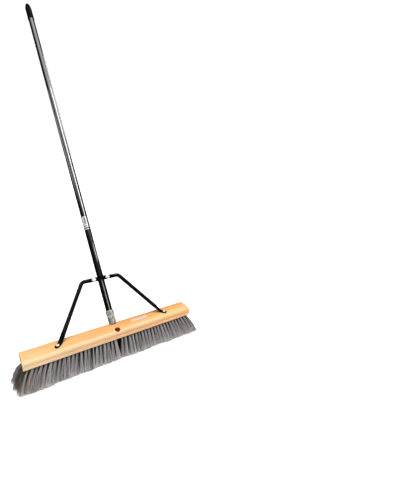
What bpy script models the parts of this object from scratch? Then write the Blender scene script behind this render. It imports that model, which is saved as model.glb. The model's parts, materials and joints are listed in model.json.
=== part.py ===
"""Push broom: a wooden block with rows of bristles, a braced steel handle and a hang-up cap.

Run with: blender --background --python part.py. Units are metres and +Z is up.
The origin is the centre of the sweeping face, X runs along the block, and the handle leans back to +Y.
"""

import math

import bmesh
import bpy
from mathutils import Matrix, Vector

# Driving dimensions
GAP = 0.0003  # clearance between touching pieces
TRIM = 0.084  # bristle length below the block

BLOCK_LENGTH = 0.615
BLOCK_WIDTH = 0.0735
BLOCK_HEIGHT = 0.0330
LIP_HEIGHT = 0.0085  # plain strip along the block's lower edge
COVE_DEPTH = 0.0026  # how far the cove above the lip cuts in
COVE_SHAPE = ((0.10, 1.0), (0.26, 1.0), (0.45, 0.62), (0.64, 0.30), (0.82, 0.08), (1.0, 0.0))  # height, depth
BLOCK_CORNER = 0.0010  # easing of the lower long edges
END_EASING = 0.0018  # rounding of the edges round each end
SHOULDER_HEIGHT = 0.0190  # where the crowned top begins
CROWN_POWER = 2.8  # superellipse exponent of the crowned top

HANDLE_LEAN = math.radians(34)  # from vertical
HANDLE_DIAMETER = 0.0238
HANDLE_WALL = 0.0010
HANDLE_LENGTH = 1.496  # from the block to the cap's tip
ENTRY_Y = 0.0242  # where the handle's axis meets the block's crown
BORE_DIAMETER = 0.0198
BORE_DEPTH = 0.0225
SPOT_DIAMETER = 0.0280  # flat seat cut round each bore
SPOT_DEPTH = 0.0012
THREAD_PITCH = 0.00508
THREAD_CLEARANCE = 0.0004  # between the crests and the bore
THREAD_HEIGHT = 0.0014
THREAD_START = 0.0016  # from the spot face to the first ridge
SHANK_TO_FLOOR = 0.0008  # between the shank's end and the bore's floor

FERRULE_LENGTH = 0.050  # outside the block
FERRULE_DIAMETER = 0.0274
COLLAR_DIAMETER = 0.0296
COLLAR_LENGTH = 0.014
SOCKET_DEPTH = 0.036  # how deep the tube sits in the ferrule
COLLAR_EDGE = 0.0015  # length of the chamfers on the collar
COLLAR_CHAMFER = 0.0010
SLEEVE_CHAMFER = 0.0008

CAP_LENGTH = 0.090
CAP_DIAMETER = 0.0260
CAP_OVERLAP = 0.040  # how far the cap covers the tube
CAP_DOME = 0.040  # length over which the cap rounds in to its tip
CAP_FLATS = 0.0176  # thickness of the cap between the flats round the hole
CAP_FLATS_LEAN = math.radians(7)
CAP_RIM = 0.0005  # how far the rim at the cap's foot stands out
CAP_RIM_LENGTH = 0.0035
HANG_HOLE_DIAMETER = 0.0080
HANG_HOLE_BELOW_TIP = 0.0215

BRACE_DIAMETER = 0.0150
BRACE_HEIGHT = 0.178  # along the handle, from the block to the clamp
BRACE_HALF_RUN = 0.0698  # from the handle's axis to each upper bend
BRACE_BEND_RADIUS = 0.019
BRACE_FILLET = 0.0035  # between the saddle behind the handle and the flat beside it
CLAMP_FLAT_LENGTH = 0.040  # half the stretch as wide as the strap
FLAT_TO_ROUND = ((0.0225, 1.0), (0.0360, 1.0), (0.0405, 0.75), (0.0450, 0.30), (0.0490, 0.0))  # x, flatness
FOOT_X = 0.200
FOOT_Y = -0.0120
TAB_THICKNESS = 0.0036
TAB_WIDTH = 0.0160
TAB_TO_BEND = 0.013  # from the foot screw back to the bend into the leg
TAB_TO_TIP = 0.0105  # from the foot screw to the tab's end
FLAT_LEG = 0.022  # stretch of leg over which the tube becomes flat
HEEL_RADIUS = 0.006

STRAP_THICKNESS = 0.0018
STRAP_WIDTH = 0.0160
EAR_REACH = 0.0360  # from the handle's axis to an ear's end
STRAP_FILLET = 0.0030
BOLT_X = 0.0264
BOLT_DIAMETER = 0.0060
BOLT_HEAD_ACROSS = 0.0110
BOLT_HEAD_HEIGHT = 0.0040
WASHER_DIAMETER = 0.0155
WASHER_THICKNESS = 0.0012
SPRING_WASHER_DIAMETER = 0.0110
SPRING_WASHER_THICKNESS = 0.0014
NUT_HEIGHT = 0.0050
NUT_CHAMFER = 0.0005
BOLT_HEAD_CHAMFER = 0.0007
BOLT_POINT_CHAMFER = 0.0008
BOLT_OVERRUN = 0.0020  # thread showing past the nut
RING_CHAMFER = 0.0002
SLIT_WIDTH = 0.0008  # of the spring washer's cut
SLIT_SLANT = 0.6

SCREW_HEAD_DIAMETER = 0.0112
SCREW_HEAD_HEIGHT = 0.0030
SCREW_DIAMETER = 0.0044
SCREW_LENGTH = 0.0200
SCREW_POINT = 0.0050  # length of the tapered point
SCREW_TIP_CLEARANCE = 0.0010
CROSS_HALF_WIDTH = 0.13  # of the head's radius
CROSS_REACH = 0.52  # of the head's radius

ROW_PITCH = 0.0140  # between rows where they leave the block
ROW_TIP_PITCH = 0.0180  # between rows at the sweeping face
TUFT_DIAMETER = 0.0080
TUFT_MARGIN = 0.0160  # from the block's end to the last tuft's outer side
END_FLARE = 0.0300  # how far the bristles stand beyond the block's end
CENTRE_GAP = 0.0190  # opening in the outer rows where a tuft is left out
CENTRE_GAP_DEPTH = 0.55  # share of the trim over which it closes

LABEL_THICKNESS = 0.00025
HANDLE_LABEL_FROM = 0.378
HANDLE_LABEL_LENGTH = 0.055
HANDLE_LABEL_ANGLE = math.radians(84)  # how far it wraps round the tube
HANDLE_LABEL_CENTRE = math.radians(-118)  # its middle, round the tube from +X towards the upper side
BLOCK_LABEL_X = 0.096
BLOCK_LABEL_Y = -0.001
BLOCK_LABEL_SIZE = (0.062, 0.018)

PAST = 0.02  # how far a cutter runs past the surface it cuts

# Directions and places that follow from them
HANDLE_AXIS = Vector((0, math.sin(HANDLE_LEAN), math.cos(HANDLE_LEAN)))
BEHIND = Vector((0, math.cos(HANDLE_LEAN), -math.sin(HANDLE_LEAN)))  # square to the handle, to its underside
ALONG = Vector((1, 0, 0))
HANDLE_RADIUS = HANDLE_DIAMETER / 2


def crown_height(y):
    """Height of the block's top above its underside, at this distance from its centre line."""
    share = min(abs(y) / (BLOCK_WIDTH / 2), 1)
    rise = (1 - share**CROWN_POWER) ** (1 / CROWN_POWER)
    return SHOULDER_HEIGHT + (BLOCK_HEIGHT - SHOULDER_HEIGHT) * rise


ENTRY = Vector((0, ENTRY_Y, TRIM + crown_height(ENTRY_Y)))


def on_handle(distance):
    return ENTRY + HANDLE_AXIS * distance


# Scene helpers

def clear_scene():
    for obj in list(bpy.data.objects):
        bpy.data.objects.remove(obj, do_unlink=True)


def new_collection(name):
    made = bpy.data.collections.new(name)
    bpy.context.scene.collection.children.link(made)
    return made


def material(name, colour, roughness, metallic=0.0):
    made = bpy.data.materials.new(name)
    made.use_nodes = True
    shader = made.node_tree.nodes["Principled BSDF"]
    shader.inputs["Base Color"].default_value = (*colour, 1.0)
    shader.inputs["Roughness"].default_value = roughness
    shader.inputs["Metallic"].default_value = metallic
    made.diffuse_color = (*colour, 1.0)
    return made


def add_object(name, mesh, collection, finish=None, smooth_below=40):
    obj = bpy.data.objects.new(name, mesh)
    collection.objects.link(obj)
    if finish:
        mesh.materials.append(finish)
        mesh.shade_smooth()
        mesh.set_sharp_from_angle(angle=math.radians(smooth_below))
    return obj


def mesh_of(name, bm):
    bmesh.ops.recalc_face_normals(bm, faces=bm.faces)
    mesh = bpy.data.meshes.new(name)
    bm.to_mesh(mesh)
    bm.free()
    return mesh


def frame_at(place, axis, side):
    """Matrix whose Z is axis and whose X is side, at a place."""
    z = axis.normalized()
    x = (side - z * side.dot(z)).normalized()
    y = z.cross(x)
    matrix = Matrix((x, y, z)).transposed().to_4x4()
    matrix.translation = place
    return matrix


HANDLE_FRAME = frame_at(ENTRY, HANDLE_AXIS, ALONG)


def cutter(name, bm, place, collection):
    obj = add_object(name, mesh_of(name, bm), collection)
    obj.matrix_world = place
    obj.hide_render = True
    obj.display_type = "WIRE"
    return obj


def cylinder(radius, low, high, sides=32):
    """Closed cylinder along Z from low to high."""
    bm = bmesh.new()
    middle = Matrix.Translation((0, 0, (low + high) / 2))
    bmesh.ops.create_cone(
        bm, cap_ends=True, segments=sides, radius1=radius, radius2=radius, depth=high - low, matrix=middle
    )
    return bm


def prism(outline, low, high):
    """Closed prism along Z over an outline of (x, y) corners."""
    bm = bmesh.new()
    base = bm.faces.new([bm.verts.new((x, y, low)) for x, y in outline])
    grown = bmesh.ops.extrude_face_region(bm, geom=[base])["geom"]
    raised = [item for item in grown if isinstance(item, bmesh.types.BMVert)]
    bmesh.ops.translate(bm, verts=raised, vec=(0, 0, high - low))
    return bm


def boolean(obj, other, operation="DIFFERENCE"):
    cut = obj.modifiers.new(f"{operation.lower()} {other.name}", "BOOLEAN")
    cut.object = other
    cut.operation = operation
    return cut


def turned(name, profile, place, collection, finish, steps=32):
    """Solid of revolution about Z; the profile (radius, height) runs down its outer side."""
    bm = bmesh.new()
    points = [bm.verts.new((radius, 0, height)) for radius, height in profile]
    for first, second in zip(points, points[1:]):
        bm.edges.new((first, second))
    if profile[0][0] > 0 or profile[-1][0] > 0:
        bm.edges.new((points[-1], points[0]))
    mesh = bpy.data.meshes.new(name)
    bm.to_mesh(mesh)
    bm.free()
    obj = add_object(name, mesh, collection, finish)
    obj.matrix_world = place
    screw = obj.modifiers.new("turn", "SCREW")
    screw.steps = steps
    screw.render_steps = steps
    screw.use_merge_vertices = True
    screw.merge_threshold = 0.00001
    screw.use_smooth_shade = True
    return obj


def loft(name, rings, collection, finish):
    """Closed body through equal rings of points, with flat ends."""
    bm = bmesh.new()
    made = [[bm.verts.new(point) for point in ring] for ring in rings]
    count = len(rings[0])
    for low, high in zip(made, made[1:]):
        for i in range(count):
            j = (i + 1) % count
            bm.faces.new((low[i], low[j], high[j], high[i]))
    bm.faces.new(made[0])
    bm.faces.new(made[-1])
    return add_object(name, mesh_of(name, bm), collection, finish)


# The block

def block_outline(crown_steps=22):
    """Section (y, z) of the block, from the lower front corner over the top to the lower back one."""
    half = BLOCK_WIDTH / 2
    rise = SHOULDER_HEIGHT - LIP_HEIGHT
    lip = [(half, BLOCK_CORNER), (half, LIP_HEIGHT - 0.6 * BLOCK_CORNER)]
    cove = lip + [(half - BLOCK_CORNER, LIP_HEIGHT + 0.3 * BLOCK_CORNER)]
    for height, depth in COVE_SHAPE:
        cove.append((half - COVE_DEPTH * depth, LIP_HEIGHT + rise * height))
    front = [(-half + BLOCK_CORNER, 0.0)] + [(-y, z) for y, z in cove]
    crown = []
    for i in range(1, crown_steps):
        y = -half * math.cos(math.pi * i / crown_steps)
        crown.append((y, crown_height(y)))
    back = list(reversed(cove)) + [(half - BLOCK_CORNER, 0.0)]
    return front + crown + back


def bore_frames():
    """Back bore, which holds the handle, and its mirror image at the front."""
    front = frame_at(
        Vector((0, -ENTRY.y, ENTRY.z)), Vector((0, -HANDLE_AXIS.y, HANDLE_AXIS.z)), ALONG
    )
    return {"back": HANDLE_FRAME, "front": front}


def foot_screw_places():
    top = TRIM + crown_height(FOOT_Y)
    return {"left": Vector((-FOOT_X, FOOT_Y, top)), "right": Vector((FOOT_X, FOOT_Y, top))}


def make_block(collection, cutters, finish):
    outline = block_outline()
    rings = []
    for side in (-1, 1):
        rings.append([(side * BLOCK_LENGTH / 2, y, TRIM + z) for y, z in outline])
    block = loft("block", rings, collection, finish)
    edge = block.modifiers.new("eased ends", "BEVEL")
    edge.width = END_EASING
    edge.segments = 3
    edge.limit_method = "ANGLE"
    edge.angle_limit = math.radians(60)
    for side, frame in bore_frames().items():
        spot = cylinder(SPOT_DIAMETER / 2, -SPOT_DEPTH, PAST, 40)
        bore = cylinder(BORE_DIAMETER / 2, -BORE_DEPTH, PAST)
        boolean(block, cutter(f"spot_{side}_cutter", spot, frame, cutters))
        boolean(block, cutter(f"bore_{side}_cutter", bore, frame, cutters))
    for side, place in foot_screw_places().items():
        pilot = cylinder(SCREW_DIAMETER / 2 + GAP, -SCREW_LENGTH, PAST, 12)
        boolean(block, cutter(f"pilot_{side}_cutter", pilot, Matrix.Translation(place), cutters))
    return block


def make_block_label(collection, finish, columns=8, rows=6):
    """Sticker that follows the crown."""
    bm = bmesh.new()
    width, depth = BLOCK_LABEL_SIZE
    bmesh.ops.create_grid(bm, x_segments=columns, y_segments=rows, size=0.5)
    for vert in bm.verts:
        vert.co.x = BLOCK_LABEL_X + vert.co.x * width
        vert.co.y = BLOCK_LABEL_Y + vert.co.y * depth
        vert.co.z = TRIM + crown_height(vert.co.y) + GAP
    return add_sheet("block_label", bm, collection, finish)


def add_sheet(name, bm, collection, finish):
    obj = add_object(name, mesh_of(name, bm), collection, finish)
    thick = obj.modifiers.new("thickness", "SOLIDIFY")
    thick.thickness = LABEL_THICKNESS
    thick.offset = 1
    return obj


# The handle: everything here turns about the handle's axis

def make_tube(collection, finish):
    outer = HANDLE_RADIUS
    inner = outer - HANDLE_WALL
    low = FERRULE_LENGTH - SOCKET_DEPTH + GAP
    high = HANDLE_LENGTH - CAP_LENGTH + CAP_OVERLAP
    profile = [(outer, high), (outer, low), (inner, low), (inner, high)]
    return turned("handle_tube", profile, HANDLE_FRAME, collection, finish, steps=40)


def thread_profile():
    """Rounded ridges down the ferrule's shank: a turned stand-in for the thread."""
    crest = BORE_DIAMETER / 2 - THREAD_CLEARANCE
    root = crest - THREAD_HEIGHT
    points = []
    height = -SPOT_DEPTH - THREAD_START
    while height - THREAD_PITCH > -BORE_DEPTH + SHANK_TO_FLOOR:
        points += [(root, height), (crest, height - THREAD_PITCH * 0.35)]
        points += [(crest, height - THREAD_PITCH * 0.55), (root, height - THREAD_PITCH * 0.9)]
        height -= THREAD_PITCH
    return points


def make_ferrule(collection, finish):
    """Threaded shank, a shoulder that seats on the block, a sleeve and a collar with the tube's socket."""
    sleeve = FERRULE_DIAMETER / 2
    collar = COLLAR_DIAMETER / 2
    socket = HANDLE_RADIUS + GAP
    floor = FERRULE_LENGTH - SOCKET_DEPTH
    collar_foot = FERRULE_LENGTH - COLLAR_LENGTH
    root = BORE_DIAMETER / 2 - THREAD_CLEARANCE - THREAD_HEIGHT
    seat = -SPOT_DEPTH + GAP
    end = -BORE_DEPTH + SHANK_TO_FLOOR
    profile = [
        (socket, FERRULE_LENGTH),
        (collar - COLLAR_CHAMFER, FERRULE_LENGTH),
        (collar, FERRULE_LENGTH - COLLAR_EDGE),
        (collar, collar_foot + COLLAR_EDGE),
        (sleeve, collar_foot - COLLAR_EDGE / 3),
        (sleeve, SPOT_DEPTH),
        (sleeve - SLEEVE_CHAMFER, seat),
        (root, seat),
        *thread_profile(),
        (root - THREAD_HEIGHT, end),
        (0.0, end),
        (0.0, floor),
        (socket, floor),
    ]
    return turned("ferrule", profile, HANDLE_FRAME, collection, finish, steps=28)


def make_cap(collection, cutters, finish):
    """Sleeve over the tube's end that rounds in to its tip, with two flats and a hole to hang it by."""
    outer = CAP_DIAMETER / 2
    socket = HANDLE_RADIUS + GAP
    foot = HANDLE_LENGTH - CAP_LENGTH
    roof = foot + CAP_OVERLAP + GAP
    tip = HANDLE_LENGTH
    dome = []
    for i in range(11):
        angle = math.pi / 2 * i / 10
        dome.append((outer * math.sin(angle), tip - CAP_DOME * (1 - math.cos(angle))))
    profile = dome + [
        (outer, foot + CAP_RIM_LENGTH + 2 * CAP_RIM),
        (outer + CAP_RIM, foot + CAP_RIM_LENGTH),
        (outer + CAP_RIM, foot + CAP_RIM),
        (outer, foot),
        (socket, foot),
        (socket, roof),
        (0.0, roof),
    ]
    cap = turned("end_cap", profile, HANDLE_FRAME, collection, finish, steps=32)
    for side, name in ((-1, "front"), (1, "back")):
        cheek = bmesh.new()
        bmesh.ops.create_cube(cheek, size=1.0, matrix=Matrix.Diagonal((2 * PAST, PAST, 5 * PAST, 1)))
        lean = Matrix.Rotation(side * CAP_FLATS_LEAN, 4, "X")
        middle = Matrix.Translation((0, side * (CAP_FLATS + PAST) / 2, tip - HANG_HOLE_BELOW_TIP))
        boolean(cap, cutter(f"cap_flat_{name}_cutter", cheek, HANDLE_FRAME @ middle @ lean, cutters))
    hole = cylinder(HANG_HOLE_DIAMETER / 2, -PAST, PAST, 20)
    hole_place = frame_at(on_handle(tip - HANG_HOLE_BELOW_TIP), BEHIND, ALONG)
    boolean(cap, cutter("hang_hole_cutter", hole, hole_place, cutters))
    return cap


def make_handle_label(collection, finish, columns=14, rows=2):
    """Sticker wrapped part of the way round the tube."""
    bm = bmesh.new()
    bmesh.ops.create_grid(bm, x_segments=columns, y_segments=rows, size=0.5)
    radius = HANDLE_RADIUS + GAP
    for vert in bm.verts:
        angle = HANDLE_LABEL_CENTRE + vert.co.x * HANDLE_LABEL_ANGLE
        height = HANDLE_LABEL_FROM + (vert.co.y + 0.5) * HANDLE_LABEL_LENGTH
        vert.co = (radius * math.cos(angle), radius * math.sin(angle), height)
    label = add_sheet("handle_label", bm, collection, finish)
    label.matrix_world = HANDLE_FRAME
    return label


# The brace and its clamp

def section_ring(place, width_axis, thick_axis, width, thickness, squareness, count=16):
    """Superellipse round a place: squareness 2 is an ellipse, more is a flattened bar."""
    ring = []
    for i in range(count):
        angle = 2 * math.pi * (i + 0.5) / count
        c, s = math.cos(angle), math.sin(angle)
        u = math.copysign(abs(c) ** (2 / squareness), c) * width / 2
        v = math.copysign(abs(s) ** (2 / squareness), s) * thickness / 2
        ring.append(place + width_axis * u + thick_axis * v)
    return ring


def rounded_corner(before, corner, after, radius, steps):
    """Points of the arc that rounds a corner between two straight stretches."""
    into = (corner - before).normalized()
    out = (after - corner).normalized()
    turn = into.angle(out)
    reach = radius * math.tan(turn / 2)
    start = corner - into * reach
    inward = (out - into * out.dot(into)).normalized()
    centre = start + inward * radius
    return [
        centre - inward * radius * math.cos(turn * i / steps) + into * radius * math.sin(turn * i / steps)
        for i in range(steps + 1)
    ]


def smooth_step(share):
    share = min(max(share, 0.0), 1.0)
    return share * share * (3 - 2 * share)


def brace_half():
    """Stations from the middle of the brace to its right foot: (place, width axis, flatness 0 to 1)."""
    clamp = on_handle(BRACE_HEIGHT)
    saddle_radius = HANDLE_RADIUS + GAP + TAB_THICKNESS / 2
    back = BEHIND * (TAB_THICKNESS / 2 + GAP / 2)
    stations = []
    fillet = BRACE_FILLET
    lowest = math.asin((back.length + fillet) / (saddle_radius + fillet))
    for i in range(8):
        angle = math.pi / 2 - (math.pi / 2 - lowest) * i / 7
        out = ALONG * math.cos(angle) + BEHIND * math.sin(angle)
        stations.append((clamp + out * saddle_radius, 1.0))
    fillet_centre = clamp + ALONG * (saddle_radius + fillet) * math.cos(lowest)
    fillet_centre += BEHIND * (saddle_radius + fillet) * math.sin(lowest)
    for i in (1, 2, 3):
        angle = lowest + (math.pi / 2 - lowest) * i / 3
        stations.append((fillet_centre - (ALONG * math.cos(angle) + BEHIND * math.sin(angle)) * fillet, 1.0))
    run_height = clamp + back
    for x, flat in FLAT_TO_ROUND:
        stations.append((run_height + ALONG * x, flat))
    foot = foot_screw_places()["right"] + Vector((0, 0, GAP + TAB_THICKNESS / 2))
    bend = run_height + ALONG * BRACE_HALF_RUN
    plan = Vector((foot.x - bend.x, foot.y - bend.y, 0)).normalized()
    heel = foot - plan * TAB_TO_BEND
    for point in rounded_corner(run_height, bend, heel, BRACE_BEND_RADIUS, 7):
        stations.append((point, 0.0))
    leg = (heel - bend).normalized()
    for lengths, flat in ((1.75, 0.0), (1.4, 0.35), (1.0, 0.8), (0.55, 1.0)):
        stations.append((heel - leg * FLAT_LEG * lengths, flat))
    for point in rounded_corner(bend, heel, foot, HEEL_RADIUS, 4):
        stations.append((point, 1.0))
    tip = foot + plan * TAB_TO_TIP
    for reach in (0.0, 0.25, 0.45, 0.62, 0.78, 0.90, 0.97, 1.0):
        stations.append((foot.lerp(tip, reach), 1.0))
    return stations, plan


def brace_rings(stations, plan):
    """Sections square to the path, turned from the handle's direction at the clamp to level at the foot."""
    level = plan.cross(Vector((0, 0, 1))).normalized()
    places = [place for place, _ in stations]
    lengths = [0.0]
    for first, second in zip(places, places[1:]):
        lengths.append(lengths[-1] + (second - first).length)
    total = lengths[-1]
    rings = []
    for i, (place, flat) in enumerate(stations):
        ahead = places[min(i + 1, len(places) - 1)] - places[max(i - 1, 0)]
        if i == 0:
            ahead = ALONG
        tangent = ahead.normalized()
        turn = smooth_step((lengths[i] / total - 0.25) / 0.35)
        side = HANDLE_AXIS.lerp(-level if level.dot(HANDLE_AXIS) < 0 else level, turn)
        side = (side - tangent * side.dot(tangent)).normalized()
        normal = tangent.cross(side).normalized()
        width = BRACE_DIAMETER + (TAB_WIDTH - BRACE_DIAMETER) * flat
        if lengths[i] < CLAMP_FLAT_LENGTH:
            width = STRAP_WIDTH
        from_tip = total - lengths[i]
        if from_tip < TAB_WIDTH / 2:
            share = 1 - from_tip / (TAB_WIDTH / 2)
            width *= math.sqrt(max(1 - share * share, 0.05))
        thickness = BRACE_DIAMETER + (TAB_THICKNESS - BRACE_DIAMETER) * flat
        rings.append(section_ring(place, side, normal, width, thickness, 2 + 3 * flat))
    return rings


def mirrored(rings):
    return [[Vector((-p.x, p.y, p.z)) for p in ring] for ring in reversed(rings)]


def make_brace(collection, cutters, finish):
    stations, plan = brace_half()
    right = brace_rings(stations, plan)
    brace = loft("brace", mirrored(right)[:-1] + right, collection, finish)
    for side, place in foot_screw_places().items():
        hole = cylinder(SCREW_DIAMETER / 2 + GAP, -PAST, PAST, 12)
        boolean(brace, cutter(f"foot_hole_{side}_cutter", hole, Matrix.Translation(place), cutters))
    cut_bolt_holes(brace, "brace", cutters)
    return brace


def bolt_frames():
    """Z points away from the ears, towards the bolt heads in front of the handle."""
    clamp = on_handle(BRACE_HEIGHT)
    return {
        "left": frame_at(clamp - ALONG * BOLT_X, -BEHIND, ALONG),
        "right": frame_at(clamp + ALONG * BOLT_X, -BEHIND, ALONG),
    }


def cut_bolt_holes(obj, name, cutters):
    for side, frame in bolt_frames().items():
        hole = cylinder(BOLT_DIAMETER / 2 + GAP, -PAST, PAST, 16)
        boolean(obj, cutter(f"{name}_bolt_hole_{side}_cutter", hole, frame, cutters))


def strap_path():
    """Middle line of the strap in the handle's cross-section, from ear to ear over the handle."""
    inner = HANDLE_RADIUS + GAP
    middle = inner + STRAP_THICKNESS / 2
    lift = GAP / 2 + STRAP_THICKNESS / 2
    fillet = STRAP_FILLET
    lowest = math.asin((lift + fillet) / (middle + fillet))
    right = []
    for i in range(11):
        angle = math.pi / 2 - (math.pi / 2 - lowest) * i / 10
        right.append(Vector((middle * math.cos(angle), middle * math.sin(angle))))
    centre = Vector((math.cos(lowest), math.sin(lowest))) * (middle + fillet)
    for i in (1, 2, 3, 4):
        angle = lowest + (math.pi / 2 - lowest) * i / 4
        right.append(centre - Vector((math.cos(angle), math.sin(angle))) * fillet)
    right.append(Vector((EAR_REACH, lift)))
    return [Vector((-p.x, p.y)) for p in reversed(right)][:-1] + right


def ear_trim():
    """Rounded bar that trims the strap's ears to half circles."""
    bm = bmesh.new()
    radius = STRAP_WIDTH / 2 + GAP / 3
    for side in (-1, 1):
        end = Matrix.Translation((side * (EAR_REACH - STRAP_WIDTH / 2), 0, PAST / 2))
        bmesh.ops.create_cone(
            bm, cap_ends=True, segments=40, radius1=radius, radius2=radius, depth=2.5 * PAST, matrix=end
        )
    size = Matrix.Diagonal((2 * EAR_REACH - STRAP_WIDTH, 1.5 * PAST, 2.45 * PAST, 1))
    bmesh.ops.create_cube(bm, size=1.0, matrix=Matrix.Translation((0, 0, PAST / 2)) @ size)
    return bm


def make_clamp_strap(collection, cutters, finish):
    """Half-round strap over the handle with a rounded ear at each side."""
    path = strap_path()
    rings = []
    for i, point in enumerate(path):
        ahead = (path[min(i + 1, len(path) - 1)] - path[max(i - 1, 0)]).normalized()
        outward = Vector((-ahead.y, ahead.x)) * STRAP_THICKNESS / 2
        corners = [(point + outward, -1), (point + outward, 1), (point - outward, 1), (point - outward, -1)]
        rings.append([Vector((p.x, side * STRAP_WIDTH / 2, p.y)) for p, side in corners])
    strap = loft("clamp_strap", rings, collection, finish)
    strap.matrix_world = frame_at(on_handle(BRACE_HEIGHT), -BEHIND, ALONG)
    keep = boolean(strap, cutter("ear_trim_cutter", ear_trim(), strap.matrix_world, cutters), "INTERSECT")
    keep.use_self = True
    cut_bolt_holes(strap, "strap", cutters)
    return strap


EAR_FRONT = GAP / 2 + STRAP_THICKNESS  # the strap ear's outer face, from the clamp's split plane
EAR_BACK = GAP / 2 + TAB_THICKNESS  # the brace's outer face


def hex_prism(across, low, high):
    return cylinder(across / math.sqrt(3), low, high, 6)


def make_clamp_bolt(side, frame, collection, cutters, finish):
    """Hexagon head with a turned shank that reaches through the nut."""
    head_foot = EAR_FRONT + WASHER_THICKNESS + 2 * GAP
    shank_end = -(EAR_BACK + SPRING_WASHER_THICKNESS + NUT_HEIGHT + 4 * GAP + BOLT_OVERRUN)
    radius = BOLT_DIAMETER / 2
    name = f"clamp_bolt_{side}"
    profile = [
        (0.0, head_foot + BOLT_HEAD_HEIGHT / 2),
        (radius, head_foot + BOLT_HEAD_HEIGHT / 2),
        (radius, shank_end + BOLT_POINT_CHAMFER),
        (radius - BOLT_POINT_CHAMFER, shank_end),
        (0.0, shank_end),
    ]
    bolt = turned(name, profile, frame, collection, finish, steps=16)
    head = hex_prism(BOLT_HEAD_ACROSS, head_foot, head_foot + BOLT_HEAD_HEIGHT)
    middle = head_foot + BOLT_HEAD_HEIGHT / 2
    top_edges = [e for e in head.edges if all(v.co.z > middle for v in e.verts)]
    bmesh.ops.bevel(head, geom=top_edges, offset=BOLT_HEAD_CHAMFER, segments=2, affect="EDGES", profile=0.5)
    boolean(bolt, cutter(f"{name}_head_cutter", head, frame, cutters), "UNION")
    return bolt


def make_ring(name, inner, outer, low, high, frame, collection, finish):
    edge = RING_CHAMFER
    profile = [(inner, high), (outer - edge, high), (outer, high - edge)]
    profile += [(outer, low + edge), (outer - edge, low), (inner, low)]
    return turned(name, profile, frame, collection, finish, steps=32)


def make_nut(side, frame, collection, cutters, finish):
    top = -(EAR_BACK + SPRING_WASHER_THICKNESS + 2 * GAP)
    body = hex_prism(BOLT_HEAD_ACROSS, top - NUT_HEIGHT, top)
    edges = [e for e in body.edges if abs(e.verts[0].co.z - e.verts[1].co.z) < NUT_HEIGHT / 2]
    bmesh.ops.bevel(body, geom=edges, offset=NUT_CHAMFER, segments=1, affect="EDGES")
    nut = add_object(f"clamp_nut_{side}", mesh_of(f"clamp_nut_{side}", body), collection, finish, 20)
    nut.matrix_world = frame
    hole = cylinder(BOLT_DIAMETER / 2 + GAP, top - PAST, top + PAST, 16)
    boolean(nut, cutter(f"nut_hole_{side}_cutter", hole, frame, cutters))
    return nut


def make_spring_washer(side, frame, collection, cutters, finish):
    """Split ring, cut through on a slant."""
    high = -EAR_BACK - GAP
    low = high - SPRING_WASHER_THICKNESS
    outer = SPRING_WASHER_DIAMETER / 2
    name = f"spring_washer_{side}"
    spring = make_ring(name, BOLT_DIAMETER / 2 + GAP, outer, low, high, frame, collection, finish)
    slit = bmesh.new()
    slant = Matrix.Translation((outer, 0, high)) @ Matrix.Rotation(SLIT_SLANT, 4, "X")
    size = Matrix.Diagonal((0.4 * PAST, SLIT_WIDTH, 0.5 * PAST, 1))
    bmesh.ops.create_cube(slit, size=1.0, matrix=slant @ size)
    boolean(spring, cutter(f"{name}_slit_cutter", slit, frame, cutters))
    return spring


def make_fasteners(collection, cutters, finish):
    low = EAR_FRONT + GAP
    high = low + WASHER_THICKNESS
    for side, frame in bolt_frames().items():
        make_clamp_bolt(side, frame, collection, cutters, finish)
        name = f"clamp_washer_{side}"
        make_ring(name, BOLT_DIAMETER / 2 + GAP, WASHER_DIAMETER / 2, low, high, frame, collection, finish)
        make_spring_washer(side, frame, collection, cutters, finish)
        make_nut(side, frame, collection, cutters, finish)


def make_foot_screw(side, place, collection, cutters, finish):
    """Pan head with a cross recess, on a shank that tapers to a point in the block."""
    head = SCREW_HEAD_DIAMETER / 2
    shank = SCREW_DIAMETER / 2
    seat = GAP + TAB_THICKNESS + GAP
    profile = []
    for i in range(5):
        angle = math.pi / 2 * i / 4
        radius = head * math.sin(angle)
        profile.append((radius, seat + SCREW_HEAD_HEIGHT * (0.45 + 0.55 * math.cos(angle))))
    tip = -SCREW_LENGTH + SCREW_TIP_CLEARANCE
    profile += [(head, seat), (shank, seat), (shank, tip + SCREW_POINT), (0.0, tip)]
    screw = turned(f"foot_screw_{side}", profile, Matrix.Translation(place), collection, finish, steps=24)
    wide = head * CROSS_HALF_WIDTH
    reach = head * CROSS_REACH
    quarter = [(reach, -wide), (reach, wide), (wide, wide)]
    plus = []
    for turn in range(4):
        c, s = round(math.cos(turn * math.pi / 2)), round(math.sin(turn * math.pi / 2))
        plus += [(x * c - y * s, x * s + y * c) for x, y in quarter]
    depth = SCREW_HEAD_HEIGHT * 0.5
    recess = prism(plus, seat + SCREW_HEAD_HEIGHT - depth, seat + SCREW_HEAD_HEIGHT + depth)
    boolean(screw, cutter(f"cross_{side}_cutter", recess, Matrix.Translation(place), cutters))
    return screw


# The bristles

def row_centre(row, share):
    """Distance of a row from the centre line, from 0 at the block to 1 at the tips."""
    return row * (ROW_PITCH + (ROW_TIP_PITCH - ROW_PITCH) * share)


def row_thickness(share):
    full = ROW_TIP_PITCH - 2 * GAP
    return TUFT_DIAMETER + (full - TUFT_DIAMETER) * smooth_step(share / 0.9)


def row_reach(share):
    """How far the outermost bristles stand from the middle along X: they bow outwards."""
    root = BLOCK_LENGTH / 2 - TUFT_MARGIN
    tip = BLOCK_LENGTH / 2 + END_FLARE
    return root + (tip - root) * (1 - (1 - share) ** 1.35)


def gap_half_width(share):
    closing = max(1 - share / CENTRE_GAP_DEPTH, 0.0)
    return GAP / 2 + CENTRE_GAP / 2 * closing


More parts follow.
